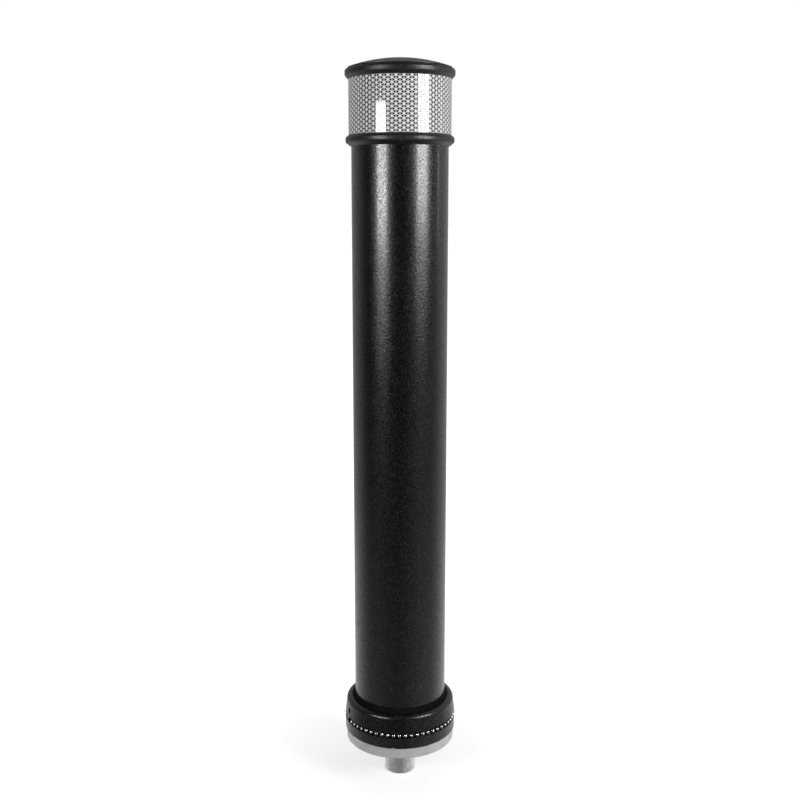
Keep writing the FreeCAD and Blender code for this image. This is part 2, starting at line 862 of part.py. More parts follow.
def make_lug_ring():
    """Ring under the tube with bayonet lugs, one of them drilled for the lock pin."""
    body = new_body("lug_ring", notch_direction)
    corners = [
        (lug_bore_radius, lug_foot),
        (lug_core_radius, lug_foot),
        (lug_core_radius, lug_top),
        (lug_spigot_radius, lug_top),
        (lug_spigot_radius, plug_seat),
        (lug_bore_radius, plug_seat),
    ]
    revolve(body, corners)
    sketch = new_sketch(body, "XY_Plane", level=lug_foot)
    draw_sector(sketch, lug_core_radius - size.overcut, lug_radius, -half_lug, half_lug)
    lug = extrude(body, "Pad", sketch, lug_top - lug_foot, outwards=True)
    pattern(body, lug, size.lug_count.value)
    pin_radius = size.lock_hole_radius - size.fit_gap + size.running_gap
    depth = size.lock_travel + size.running_gap
    side_hole(body, ZERO, lock_level, pin_radius, inner=chamber_radius - depth, depth=depth)
    return body


def make_foot_plug():
    """Flanged plug that closes the foot of the tube and takes the pull of the tie rod."""
    body = new_body("foot_plug")
    bore = size.rod_radius + size.slide_gap
    hub = lug_bore_radius - size.fit_gap
    flange = tube_bore - size.running_gap
    corners = [
        (bore, hub_foot),
        (hub, hub_foot),
        (hub, plug_seat),
        (flange, plug_seat),
        (flange, plug_seat + size.plug_flange_height),
        (bore, plug_seat + size.plug_flange_height),
    ]
    revolve(body, corners)
    return body


def make_tie_rod():
    """Rod from the foot to the head, tapped at the top for the crown screw."""
    body = new_body("tie_rod")
    tap = size.crown_screw_radius + size.thread_gap
    tap_foot = rod_top - size.crown_screw_grip - size.rod_tail
    corners = [
        (ZERO, rod_foot),
        (size.rod_radius, rod_foot),
        (size.rod_radius, rod_top),
        (tap, rod_top),
        (tap, tap_foot),
        (ZERO, tap_foot),
    ]
    revolve(body, corners)
    return body


def make_nut(label, foot, height):
    """Hexagon nut on the tie rod."""
    body = new_body(label)
    sketch = new_sketch(body, "XY_Plane", level=foot)
    draw_hexagon(sketch, nut_across_flats)
    draw_circle(sketch, ZERO, ZERO, size.rod_radius + size.thread_gap)
    extrude(body, "Pad", sketch, height, outwards=True)
    return body


def make_head_spool():
    """Moulded head: skirt in the tube, two hand-grip flanges and the barrel between them."""
    body = new_body("head_spool")
    edge = size.edge_radius
    rounded = flange_radius - edge
    upper_rounded = upper_flange_radius - edge
    land = barrel_radius + edge
    socket = size.tube_radius + size.fit_gap
    corner_foot = head_foot + size.flange_underside_rise
    shoulder_top = lower_flange_top - edge
    upper_corner_foot = upper_flange_foot + size.flange_shoulder_height
    upper_shoulder_top = upper_flange_top - size.edge_chamfer
    corners = [
        (socket, head_foot),
        (socket + size.edge_chamfer, head_foot),
        (rounded, corner_foot, size.flange_rounding, "left"),
        (flange_radius, corner_foot + size.flange_corner_height),
        (flange_radius, shoulder_top - size.flange_shoulder_height, size.flange_rounding, "left"),
        (rounded, shoulder_top),
        (land, lower_flange_top),
        (barrel_radius, lower_flange_top),
        (barrel_radius, upper_flange_foot),
        (land, upper_flange_foot),
        (upper_rounded, upper_corner_foot, size.flange_rounding, "left"),
        (upper_flange_radius, upper_corner_foot + size.flange_corner_height),
        (upper_flange_radius, upper_shoulder_top - size.flange_shoulder_height,
         size.flange_rounding, "left"),
        (upper_rounded, upper_shoulder_top),
        (upper_rounded - size.edge_chamfer, upper_flange_top),
        (head_bore, upper_flange_top),
        (head_bore, web_top),
        (size.rod_radius + size.slide_gap, web_top),
        (size.rod_radius + size.slide_gap, tube_top),
        (skirt_radius - size.skirt_wall, tube_top),
        (skirt_radius - size.skirt_wall, tube_top - size.skirt_length),
        (skirt_radius, tube_top - size.skirt_length),
        (skirt_radius, tube_top),
        (socket, tube_top),
    ]
    revolve(body, corners)
    return body


def make_reflective_band():
    """Film wrapped once round the barrel, with a fine open seam."""
    body = new_body("reflective_band")
    inner = barrel_radius + size.thread_gap
    outer = inner + size.band_thickness
    foot = lower_flange_top + size.band_margin
    top = upper_flange_foot - size.band_margin
    corners = [(inner, foot), (outer, foot), (outer, top), (inner, top)]
    turn = size.band_seam_angle + size.band_gap_angle
    revolve(body, corners, turn=turn, angle=Dim(360, "360") - size.band_gap_angle)
    return body


def make_dome_cap():
    """Domed cap with a spigot in the barrel and a boss that stands on the tie rod."""
    body = new_body("dome_cap")
    drop = dome_sphere - (dome_sphere * dome_sphere - crown_hole * crown_hole).root()
    shank = size.crown_screw_radius + size.slide_gap
    spigot = head_bore - size.fit_gap
    spigot_inner = spigot - size.dome_spigot_wall
    corners = [
        (shank, rod_top),
        (size.dome_boss_radius, rod_top),
        (size.dome_boss_radius, dome_top - size.dome_wall),
        (spigot_inner, dome_foot + size.dome_edge),
        (spigot_inner, dome_foot - size.dome_spigot_length),
        (spigot, dome_foot - size.dome_spigot_length),
        (spigot, dome_foot),
        (dome_radius, dome_foot),
        (dome_radius, dome_shoulder, dome_sphere, "left"),
        (crown_hole, dome_top - drop),
        (crown_hole, crown_seat),
        (shank, crown_seat),
    ]
    revolve(body, corners)
    return body


def make_crown_screw():
    """Screw through the crown of the dome into the tie rod."""
    length = crown_seat - rod_top + size.crown_screw_grip
    body = make_screw(
        "crown_screw",
        size.crown_screw_head_radius,
        size.crown_screw_head_height,
        size.crown_screw_radius,
        length,
        size.crown_socket_width,
    )
    body.setExpression("Placement.Base.z", crown_seat.text)
    return body


# ---------------------------------------------------------------------------------------------
# Build, check and write
# ---------------------------------------------------------------------------------------------


def build_nodes():
    """Build every sub-part and return the objects in order."""
    lining = rim_inner_radius - size.thread_gap
    rod_hole = size.rod_radius + size.fit_gap
    washer_hole = size.rod_radius + size.slide_gap
    bush_outer = rod_hole + size.rod_bush_wall
    return [
        make_ground_plate(),
        make_base_ring(),
        make_collar(),
        plain_ring("guide_bush", size.tube_radius + size.slide_gap, lining, bush_level, seal_level),
        make_wiper_seal(),
        make_bead_strip(),
        make_reflector_beads(),
        make_strip_screw(),
        make_ring_screws(),
        make_lock_tip(),
        make_lock_screw(),
        make_foot_spigot(),
        plain_ring("rod_bush", rod_hole, bush_outer, web_foot, foot_flange_top),
        plain_ring("thrust_washer", rod_hole, size.foot_flange_radius, foot_flange_top, washer_top),
        make_lug_ring(),
        make_foot_plug(),
        plain_ring("post_tube", tube_bore, size.tube_radius, lug_top, tube_top),
        make_tie_rod(),
        plain_ring("lower_washer", washer_hole, lower_washer_radius, lower_nut_top, lower_washer_top),
        make_nut("lower_nut", lower_nut_foot, size.lower_nut_height),
        make_head_spool(),
        make_reflective_band(),
        plain_ring("upper_washer", washer_hole, size.upper_washer_radius, web_top, upper_nut_foot),
        make_nut("upper_nut", upper_nut_foot, size.upper_nut_height),
        plain_ring("cap_gasket", head_bore + size.running_gap, dome_radius + size.fit_gap,
                   upper_flange_top, dome_foot),
        make_dome_cap(),
        make_crown_screw(),
    ]


def check_document():
    """Stop if any object of the document failed to recompute."""
    for item in doc.Objects:
        if "Invalid" in item.State or "Error" in item.State:
            raise RuntimeError(f"{item.Name} is {item.State}")


def write_nodes(nodes):
    """Check each node's shape and write it to its own STEP file."""
    os.makedirs("parts", exist_ok=True)
    for node in nodes:
        shape = node.Shape
        if shape.isNull() or not shape.isValid():
            raise RuntimeError(f"{node.Label} has no valid shape")
        shape.exportStep(f"parts/{node.Label}.step")
        box = shape.BoundBox
        print(f"{node.Label}: {len(shape.Solids)} solid, {shape.Volume:.1f} mm3, "
              f"z {box.ZMin:.2f} to {box.ZMax:.2f}, reach {box.XMax:.2f}")


nodes = build_nodes()
doc.recompute()
check_document()
write_nodes(nodes)
travel = head_foot.value - lip_level.value - size.rest_gap.value
print(f"slide travel {travel:.2f}, total height {crown_top.value:.2f}")
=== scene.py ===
import logging
import math
from dataclasses import dataclass, field
from enum import Enum
from typing import Optional, Sequence, Union

import bpy
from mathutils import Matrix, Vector

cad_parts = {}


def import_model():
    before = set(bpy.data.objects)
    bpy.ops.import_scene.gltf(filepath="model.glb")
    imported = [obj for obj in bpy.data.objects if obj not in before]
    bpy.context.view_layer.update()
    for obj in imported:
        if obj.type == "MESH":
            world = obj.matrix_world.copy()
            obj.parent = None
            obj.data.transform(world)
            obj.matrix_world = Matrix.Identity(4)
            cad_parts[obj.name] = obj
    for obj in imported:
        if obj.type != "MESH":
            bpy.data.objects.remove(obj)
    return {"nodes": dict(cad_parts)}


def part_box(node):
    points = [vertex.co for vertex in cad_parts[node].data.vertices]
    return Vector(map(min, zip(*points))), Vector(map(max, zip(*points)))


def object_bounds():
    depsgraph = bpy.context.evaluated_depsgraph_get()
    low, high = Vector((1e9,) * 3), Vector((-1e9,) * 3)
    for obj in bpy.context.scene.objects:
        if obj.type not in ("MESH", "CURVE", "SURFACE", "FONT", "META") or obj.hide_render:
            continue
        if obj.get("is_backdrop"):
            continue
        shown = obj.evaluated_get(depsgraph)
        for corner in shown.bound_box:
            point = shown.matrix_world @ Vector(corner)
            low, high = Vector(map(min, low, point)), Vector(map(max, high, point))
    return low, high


logging.basicConfig(level=logging.INFO, format="%(message)s")
log = logging.getLogger("bollard")

MM = 0.001
LACQUER_IOR = 1.45
FILM_FACE_IOR = 1.5
SENSOR_WIDTH = 36.0
HEXAGON_RISE = math.sqrt(3) / 2
Number = Union[int, float]
Colour = tuple[float, float, float]
Span = tuple[float, float]


class Detail(Enum):
    """How coarse a finish's fine texture is, as the size of one grain in metres."""

    POWDER = 0.0017
    MOULDED = 0.0013
    CAST = 0.0021
    ROLLED = 0.0016


# ------------------------------------------------------------------------------ shader tools


class Value:
    """One output socket of a shader tree, with arithmetic that adds Math nodes."""

    def __init__(self, tree: "ShaderTree", socket: bpy.types.NodeSocket) -> None:
        """Wrap a socket.

        Args:
            tree: the tree that the socket is in.
            socket: the output socket that gives the value.
        """
        self.tree = tree
        self.socket = socket

    def _math(self, operation: str, *terms: Union["Value", Number]) -> "Value":
        """Add one Math node.

        Args:
            operation: the node's operation.
            terms: its inputs in order.

        Returns:
            The node's result.
        """
        inputs = dict(enumerate(terms))
        node = self.tree.node("ShaderNodeMath", {"operation": operation}, inputs)
        return Value(self.tree, node.outputs[0])

    def __add__(self, other: Union["Value", Number]) -> "Value":
        """Return self + other."""
        return self._math("ADD", self, other)

    def __sub__(self, other: Union["Value", Number]) -> "Value":
        """Return self - other."""
        return self._math("SUBTRACT", self, other)

    def __rsub__(self, other: Number) -> "Value":
        """Return other - self."""
        return self._math("SUBTRACT", other, self)

    def __mul__(self, other: Union["Value", Number]) -> "Value":
        """Return self * other."""
        return self._math("MULTIPLY", self, other)

    def __truediv__(self, other: Union["Value", Number]) -> "Value":
        """Return self / other."""
        return self._math("DIVIDE", self, other)

    __radd__ = __add__
    __rmul__ = __mul__

    def cosine(self) -> "Value":
        """Return the cosine of this angle in radians."""
        return self._math("COSINE", self)

    def at_least(self, other: Union["Value", Number]) -> "Value":
        """Return the greater of self and other."""
        return self._math("MAXIMUM", self, other)

    def size(self) -> "Value":
        """Return the value without its sign."""
        return self._math("ABSOLUTE", self)

    def angle_from(self, x: "Value") -> "Value":
        """Return the direction of the point (x, self) about the origin, in radians."""
        return self._math("ARCTAN2", self, x)

    def below(self, limit: Number, softness: Number) -> "Value":
        """Return 1 where the value is under limit, falling to 0 over softness."""
        return self.span(limit + softness, limit)

    def span(self, start: Number, end: Number, low: Number = 0.0, high: Number = 1.0) -> "Value":
        """Map the stretch from start to end onto low to high, held at both ends.

        Args:
            start: the value that gives low.
            end: the value that gives high.
            low: the result at start.
            high: the result at end.

        Returns:
            The mapped value.
        """
        inputs = {0: self, 1: start, 2: end, 3: low, 4: high}
        node = self.tree.node("ShaderNodeMapRange", {"clamp": True}, inputs)
        return Value(self.tree, node.outputs[0])


Input = Union[Value, bpy.types.NodeSocket, Number, Sequence[float]]


class ShaderTree:
    """A node tree that is filled through one method."""

    def __init__(self, nodes: bpy.types.NodeTree) -> None:
        """Empty the tree and keep it."""
        self.nodes = nodes
        self.nodes.nodes.clear()

    def node(
        self,
        kind: str,
        settings: Optional[dict] = None,
        inputs: Optional[dict[Union[str, int], Input]] = None,
    ) -> bpy.types.Node:
        """Add a node, set it up and feed its sockets.

        Args:
            kind: the node's type.
            settings: its properties, set before its sockets.
            inputs: values or links by socket name or number.

        Returns:
            The new node.
        """
        made = self.nodes.nodes.new(kind)
        for name, setting in (settings or {}).items():
            setattr(made, name, setting)
        for name, given in (inputs or {}).items():
            self.feed(made.inputs[name], given)
        return made

    def feed(self, socket: bpy.types.NodeSocket, given: Input) -> None:
        """Link a value into a socket, or set the socket to a constant.

        Args:
            socket: the input socket.
            given: a value or socket to link, or the constant.
        """
        if isinstance(given, Value):
            self.nodes.links.new(given.socket, socket)
        elif isinstance(given, bpy.types.NodeSocket):
            self.nodes.links.new(given, socket)
        elif isinstance(given, tuple) and len(given) < len(getattr(socket, "default_value", ())):
            socket.default_value = (*given, 1.0)
        else:
            socket.default_value = given

    def axes(self, vector: bpy.types.NodeSocket) -> tuple[Value, Value, Value]:
        """Return a vector's three parts."""
        parts = self.node("ShaderNodeSeparateXYZ", inputs={0: vector})
        return tuple(Value(self, parts.outputs[k]) for k in range(3))


class Recipe(ShaderTree):
    """One material's node tree, ending in a Principled surface."""

    def __init__(self, name: str) -> None:
        """Start an empty material.

        Args:
            name: the material's name.
        """
        self.material = bpy.data.materials.new(name)
        self.material.use_nodes = True
        super().__init__(self.material.node_tree)
        self.surface = self.node("ShaderNodeBsdfPrincipled")
        self.node("ShaderNodeOutputMaterial", inputs={"Surface": self.surface.outputs[0]})
        self.place = self.node("ShaderNodeTexCoord").outputs["Object"]
        self.x, self.y, self.z = self.axes(self.place)

    def noise(self, grain: float, detail: float = 2.0, roughness: float = 0.5) -> Value:
        """Return a noise in the object's own space.

        Args:
            grain: the size of one blotch in metres.
            detail: the number of finer layers.
            roughness: how strong the finer layers are.

        Returns:
            The noise, from 0 to 1 about 0.5.
        """
        inputs = {
            "Vector": self.place,
            "Scale": 1.0 / grain,
            "Detail": detail,
            "Roughness": roughness,
        }
        return Value(self, self.node("ShaderNodeTexNoise", inputs=inputs).outputs[0])

    def stretched_noise(self, grain: Sequence[float], detail: float = 2.0) -> Value:
        """Return a noise whose blotches have a size of their own along each axis.

        Args:
            grain: the size of one blotch along x, y and z in metres.
            detail: the number of finer layers.

        Returns:
            The noise, from 0 to 1 about 0.5.
        """
        scale = tuple(1.0 / size for size in grain)
        mapping = self.node("ShaderNodeMapping", inputs={"Vector": self.place, "Scale": scale})
        inputs = {"Vector": mapping.outputs[0], "Scale": 1.0, "Detail": detail}
        return Value(self, self.node("ShaderNodeTexNoise", inputs=inputs).outputs[0])

    def cells(self, grain: float, smooth: float = 0.4) -> Value:
        """Return the distance to the nearest of scattered points, as rounded pebbles.

        Args:
            grain: the size of one pebble in metres.
            smooth: how far neighbouring pebbles run together.

        Returns:
            The distance, 0 at a pebble's middle.
        """
        settings = {"feature": "SMOOTH_F1"}
        inputs = {"Vector": self.place, "Scale": 1.0 / grain, "Smoothness": smooth}
        return Value(self, self.node("ShaderNodeTexVoronoi", settings, inputs).outputs[0])

    def blend(
        self, share: Union[Value, Number], first: Input, second: Input
    ) -> bpy.types.NodeSocket:
        """Mix two colours.

        Args:
            share: 0 gives first, 1 gives second.
            first: a colour or a colour socket.
            second: a colour or a colour socket.

        Returns:
            The mixed colour's socket.
        """
        made = self.node("ShaderNodeMix", {"data_type": "RGBA"}, {0: share})
        self.feed(made.inputs[6], first)
        self.feed(made.inputs[7], second)
        return made.outputs[2]

    def bump(self, height: Value, depth: float, strength: float = 1.0) -> bpy.types.NodeSocket:
        """Return a normal raised by height.

        Args:
            height: the relief, where 1 is a full depth.
            depth: the relief's depth in metres.
            strength: the share of it that shows.

        Returns:
            The normal's socket.
        """
        inputs = {"Height": height, "Distance": depth, "Strength": strength}
        return self.node("ShaderNodeBump", inputs=inputs).outputs[0]

    def finish(self, **inputs: Input) -> bpy.types.Material:
        """Feed the Principled surface.

        Args:
            inputs: its sockets by name, with underscores for spaces.

        Returns:
            The finished material.
        """
        for name, given in inputs.items():
            self.feed(self.surface.inputs[name.replace("_", " ")], given)
        return self.material


# ---------------------------------------------------------------------------------- finishes


@dataclass(frozen=True)
class PowderCoat:
    """Black fine-textured powder coat on steel, with a gloss that breaks into sparkles."""

    colour: Colour = (0.0012, 0.0012, 0.0013)
    fleck: Colour = (0.017, 0.017, 0.0175)
    grain: float = Detail.POWDER.value
    relief: float = 0.00017
    roughness: Span = (0.15, 0.33)
    gloss: Span = (0.10, 0.80)
    gloss_roughness: float = 0.16
    specular: float = 0.38
    fine_grain: float = 0.8
    fine_spread: Span = (0.36, 0.62)
    fleck_spread: Span = (0.54, 0.68)
    sparkle_grain: float = 0.9
    sparkle_spread: Span = (0.42, 0.60)
    drift_grain: float = 0.05
    drift_spread: Span = (0.35, 0.65)
    drift: Span = (-0.02, 0.03)
    pebble_height: float = 0.6

    def make(self, name: str) -> bpy.types.Material:
        """Build the finish.

        Args:
            name: the material's name.

        Returns:
            The finished material.
        """
        recipe = Recipe(name)
        pebbles = recipe.cells(self.grain)
        fine = recipe.noise(self.grain * self.fine_grain, detail=3.0, roughness=0.65)
        flecks = recipe.noise(self.grain, detail=1.0).span(*self.fleck_spread)
        sparkle = recipe.noise(self.grain * self.sparkle_grain, detail=2.0, roughness=0.6)
        drift = recipe.noise(self.drift_grain, detail=2.0).span(*self.drift_spread, *self.drift)
        return recipe.finish(
            Base_Color=recipe.blend(flecks, self.colour, self.fleck),
            Roughness=fine.span(*self.fine_spread, *self.roughness) + drift,
            Specular_IOR_Level=self.specular,
            Normal=recipe.bump(pebbles * self.pebble_height + fine, self.relief),
            Coat_Weight=sparkle.span(*self.sparkle_spread, *self.gloss),
            Coat_Roughness=self.gloss_roughness,
            Coat_IOR=LACQUER_IOR,
        )


@dataclass(frozen=True)
class MouldedBlack:
    """Black moulded nylon with a fine spark-eroded grain and a mould's parting line."""

    colour: Colour = (0.006, 0.006, 0.0065)
    scuffed: Colour = (0.018, 0.018, 0.0185)
    grain: float = Detail.MOULDED.value
    relief: float = 0.00020
    roughness: Span = (0.34, 0.50)
    gloss: Span = (0.0, 0.50)
    gloss_roughness: float = 0.28
    specular: float = 0.34
    sparkle_spread: Span = (0.42, 0.60)
    flow_grain: tuple[float, float, float] = (0.004, 0.004, 0.0011)
    flow_height: float = 0.35
    scuff_spread: Span = (0.45, 0.75)
    sheen_spread: Span = (0.3, 0.7)
    parting_width: float = 0.00035
    parting_height: float = 1.6
    parting: bool = True

    def make(self, name: str) -> bpy.types.Material:
        """Build the finish.

        Args:
            name: the material's name.

        Returns:
            The finished material.
        """
        recipe = Recipe(name)
        grain = recipe.noise(self.grain, detail=3.0, roughness=0.6)
        flow = recipe.stretched_noise(self.flow_grain, detail=3.0)
        sparkle = recipe.noise(self.grain, detail=2.0, roughness=0.6)
        height = grain + flow * self.flow_height
        if self.parting:
            line = recipe.x.size().below(self.parting_width, self.parting_width)
            height = height + line * self.parting_height
        return recipe.finish(
            Base_Color=recipe.blend(flow.span(*self.scuff_spread), self.colour, self.scuffed),
            Roughness=flow.span(*self.sheen_spread, *self.roughness),
            Specular_IOR_Level=self.specular,
            Normal=recipe.bump(height, self.relief),
            Coat_Weight=sparkle.span(*self.sparkle_spread, *self.gloss),
            Coat_Roughness=self.gloss_roughness,
            Coat_IOR=LACQUER_IOR,
        )


@dataclass(frozen=True)
class PrismaticFilm:
    """White retroreflective film: a lattice of prism edges under a glossy clear face."""

    radius: float
    columns: int = 84
    bright: Colour = (0.95, 0.95, 0.95)
    dark: Colour = (0.004, 0.004, 0.005)
    edge: Span = (0.64, 1.0)
    roughness: Span = (0.45, 0.60)
    relief: float = 0.00012
    relief_shown: float = 0.6
    specular: float = 0.3
    gloss: float = 0.03
    ridge_share: float = 0.68
    wear_grain: float = 0.012
    wear_spread: Span = (0.3, 0.7)

    def make(self, name: str) -> bpy.types.Material:
        """Build the finish.

        Args:
            name: the material's name.

        Returns:
            The finished material.
        """
        recipe = Recipe(name)
        turn = recipe.y.angle_from(recipe.x) * self.columns
        pitch = math.tau * self.radius / self.columns
        climb = recipe.z * (math.tau / pitch * HEXAGON_RISE)
        upright = turn.cosine()
        rising = (turn * 0.5 + climb).cosine()
        falling = (climb - turn * 0.5).cosine()
        ridges = upright.at_least(rising).at_least(falling)
        stars = (upright + rising + falling) / 3.0
        wear = recipe.noise(self.wear_grain, detail=2.0)
        light = ridges.span(*self.edge) * self.ridge_share
        light = light + stars.at_least(0.0) * (1.0 - self.ridge_share)
        return recipe.finish(
            Base_Color=recipe.blend(light, self.dark, self.bright),
            Roughness=wear.span(*self.wear_spread, *self.roughness),
            Specular_IOR_Level=self.specular,
            Normal=recipe.bump(ridges, self.relief, self.relief_shown),
            Coat_Weight=1.0,
            Coat_Roughness=self.gloss,
            Coat_IOR=FILM_FACE_IOR,
        )


@dataclass(frozen=True)
class BrightMetal:
    """Bare or plated metal with faint drawing lines and a mottled sheen."""

    colour: Colour
    tarnish: Colour
    roughness: Span = (0.22, 0.38)
    grain: float = Detail.ROLLED.value
    lines: tuple[float, float, float] = (0.0006, 0.0006, 0.02)
    relief: float = 0.00003
    mottle_grain: float = 2.4
    mottle_height: float = 0.8
    line_height: float = 0.6
    tarnish_spread: Span = (0.36, 0.66)
    sheen_spread: Span = (0.35, 0.68)

    def make(self, name: str) -> bpy.types.Material:
        """Build the finish.

        Args:
            name: the material's name.

        Returns:
            The finished material.
        """
        recipe = Recipe(name)
        mottle = recipe.noise(self.grain * self.mottle_grain, detail=4.0, roughness=0.62)
        lines = recipe.stretched_noise(self.lines, detail=3.0)
        height = lines * self.line_height + mottle * self.mottle_height
        return recipe.finish(
            Base_Color=recipe.blend(mottle.span(*self.tarnish_spread), self.colour, self.tarnish),
            Roughness=mottle.span(*self.sheen_spread, *self.roughness),
            Metallic=1.0,
            Normal=recipe.bump(height, self.relief),
        )


@dataclass(frozen=True)
class CastAlloy:
    """Matt grey die-cast alloy with a slightly cloudy, pitted skin."""

    colour: Colour = (0.70, 0.70, 0.705)
    cloud: Colour = (0.58, 0.58, 0.585)
    grain: float = Detail.CAST.value
    relief: float = 0.00008
    roughness: Span = (0.42, 0.60)
    metallic: float = 0.45
    cloud_grain: float = 4.0
    skin_grain: float = 0.4
    cloud_spread: Span = (0.35, 0.7)
    sheen_spread: Span = (0.3, 0.7)
    pit_size: float = 0.12
    pit_softness: float = 0.1
    pit_depth: float = 0.7

    def make(self, name: str) -> bpy.types.Material:
        """Build the finish.

        Args:
            name: the material's name.

        Returns:
            The finished material.
        """
        recipe = Recipe(name)
        clouds = recipe.noise(self.grain * self.cloud_grain, detail=4.0, roughness=0.6)
        skin = recipe.noise(self.grain * self.skin_grain, detail=3.0, roughness=0.6)
        pits = recipe.cells(self.grain, smooth=0.1).below(self.pit_size, self.pit_softness)
        return recipe.finish(
            Base_Color=recipe.blend(clouds.span(*self.cloud_spread), self.colour, self.cloud),
            Roughness=clouds.span(*self.sheen_spread, *self.roughness),
            Metallic=self.metallic,
            Normal=recipe.bump(skin - pits * self.pit_depth, self.relief),
        )


@dataclass(frozen=True)
class MattRubber:
    """Matt black rubber with a dusty bloom."""

    colour: Colour = (0.0020, 0.0020, 0.0020)
    bloom: Colour = (0.0050, 0.0050, 0.0050)
    roughness: Span = (0.78, 0.92)
    relief: float = 0.00004
    specular: float = 0.10
    bloom_grain: float = 0.006
    skin_grain: float = 0.0007
    bloom_spread: Span = (0.4, 0.7)
    sheen_spread: Span = (0.3, 0.7)

    def make(self, name: str) -> bpy.types.Material:
        """Build the finish.

        Args:
            name: the material's name.

        Returns:
            The finished material.
        """
        recipe = Recipe(name)
        bloom = recipe.noise(self.bloom_grain, detail=4.0, roughness=0.6)
        skin = recipe.noise(self.skin_grain, detail=2.0)
        return recipe.finish(
            Base_Color=recipe.blend(bloom.span(*self.bloom_spread), self.colour, self.bloom),
            Roughness=bloom.span(*self.sheen_spread, *self.roughness),
            Specular_IOR_Level=self.specular,
            Normal=recipe.bump(skin, self.relief),
        )


@dataclass(frozen=True)
class PolishedBead:
    """Mirror-bright reflector bead."""

    colour: Colour = (0.62, 0.62, 0.63)
    dull: Colour = (0.50, 0.50, 0.51)
    roughness: Span = (0.14, 0.20)
    film_grain: float = 0.003
    dull_spread: Span = (0.4, 0.7)
    sheen_spread: Span = (0.3, 0.7)

    def make(self, name: str) -> bpy.types.Material:
        """Build the finish.

        Args:
            name: the material's name.

        Returns:
            The finished material.
        """
        recipe = Recipe(name)
        film = recipe.noise(self.film_grain, detail=2.0)
        return recipe.finish(
            Base_Color=recipe.blend(film.span(*self.dull_spread), self.colour, self.dull),
            Roughness=film.span(*self.sheen_spread, *self.roughness),
            Metallic=1.0,
        )


# ------------------------------------------------------------------------------ sub-assemblies


@dataclass
class SubAssembly:
    """A group of the object's own nodes that are dressed together."""

    nodes: dict[str, bpy.types.Object]

    def dress(self, node: str, material: bpy.types.Material) -> None:
        """Give one node its material in every slot.

        Args:
            node: the node's name.
            material: the finish that it gets.
        """
        piece = self.nodes[node]
        if not piece.material_slots:
            piece.data.materials.append(material)
        for slot in piece.material_slots:
            slot.material = material
        low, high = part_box(node)
        log.info("%s: %s, %.1f mm tall", node, material.name, (high.z - low.z) / MM)

    def dress_all(self, finishes: dict[str, bpy.types.Material]) -> None:
        """Dress each named node."""
        for node, material in finishes.items():
            self.dress(node, material)


def ring_coat() -> PowderCoat:
    """Return the ring's coat, smoother and duller than the post's."""
    return PowderCoat(relief=0.00010, roughness=(0.22, 0.38), gloss_roughness=0.26)


@dataclass
class GroundRing(SubAssembly):
    """The fixed ring: plate, base ring, collar, seal, bush and the strip of beads."""

    coat: PowderCoat = field(default_factory=ring_coat)

    def build(self) -> None:
        """Dress the ring's pieces."""
        coat = self.coat.make("ring_coat")
        steel = BrightMetal((0.60, 0.60, 0.61), (0.45, 0.45, 0.46)).make("ring_screw_steel")
        nylon = MouldedBlack(parting=False).make("black_nylon")
        self.dress_all(
            {
                "ground_plate": CastAlloy().make("plate_alloy"),
                "base_ring": coat,
                "collar": coat,
                "wiper_seal": MattRubber().make("seal_rubber"),
                "guide_bush": nylon,
                "bead_strip": nylon,
                "reflector_beads": PolishedBead().make("bead_mirror"),
                "strip_screw": steel,
                "ring_screws": steel,
            }
        )


@dataclass
class SideLock(SubAssembly):
    """The pin and the screw in the collar's side hole."""

    def build(self) -> None:
        """Dress the lock's pieces."""
        brass = BrightMetal((0.62, 0.45, 0.20), (0.40, 0.28, 0.13)).make("lock_brass")
        black = BrightMetal((0.03, 0.03, 0.032), (0.015, 0.015, 0.016), (0.6, 0.75))
        self.dress_all({"lock_tip": brass, "lock_screw": black.make("lock_steel")})


@dataclass
class Foot(SubAssembly):
    """The grooved spigot with its bush and thrust washer."""

    def build(self) -> None:
        """Dress the foot's pieces."""
        zinc = BrightMetal((0.86, 0.86, 0.87), (0.62, 0.62, 0.63), (0.30, 0.46))
        bronze = BrightMetal((0.50, 0.36, 0.20), (0.34, 0.24, 0.14)).make("bearing_bronze")
        self.dress("foot_spigot", zinc.make("spigot_zinc"))
        self.dress_all({"rod_bush": bronze, "thrust_washer": bronze})


@dataclass
class Post(SubAssembly):
    """The coated tube with its lug ring, plug, tie rod and nuts."""

    coat: PowderCoat = field(default_factory=PowderCoat)

    def build(self) -> None:
        """Dress the post's pieces."""
        steel = BrightMetal((0.60, 0.60, 0.61), (0.45, 0.45, 0.46)).make("fastener_steel")
        phosphate = BrightMetal((0.09, 0.09, 0.09), (0.05, 0.05, 0.05), (0.5, 0.65))
        self.dress_all(
            {
                "post_tube": self.coat.make("tube_coat"),
                "lug_ring": phosphate.make("lug_steel"),
                "foot_plug": CastAlloy().make("plug_alloy"),
                "tie_rod": steel,
                "lower_washer": steel,
                "lower_nut": steel,
                "upper_washer": steel,
                "upper_nut": steel,
            }
        )


@dataclass
class Head(SubAssembly):
    """The moulded head with its reflective band and domed cap."""

    moulding: MouldedBlack = field(default_factory=MouldedBlack)

    def build(self) -> None:
        """Dress the head's pieces."""
        low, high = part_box("reflective_band")
        film = PrismaticFilm(radius=(high.x - low.x) / 2)
        self.dress_all(
            {
                "head_spool": self.moulding.make("head_nylon"),
                "reflective_band": film.make("prismatic_film"),
                "cap_gasket": MattRubber().make("gasket_rubber"),
                "dome_cap": MouldedBlack(parting=False).make("dome_nylon"),
                "crown_screw": MouldedBlack(parting=False).make("crown_black"),
            }
        )


# -------------------------------------------------------------------------------------- studio


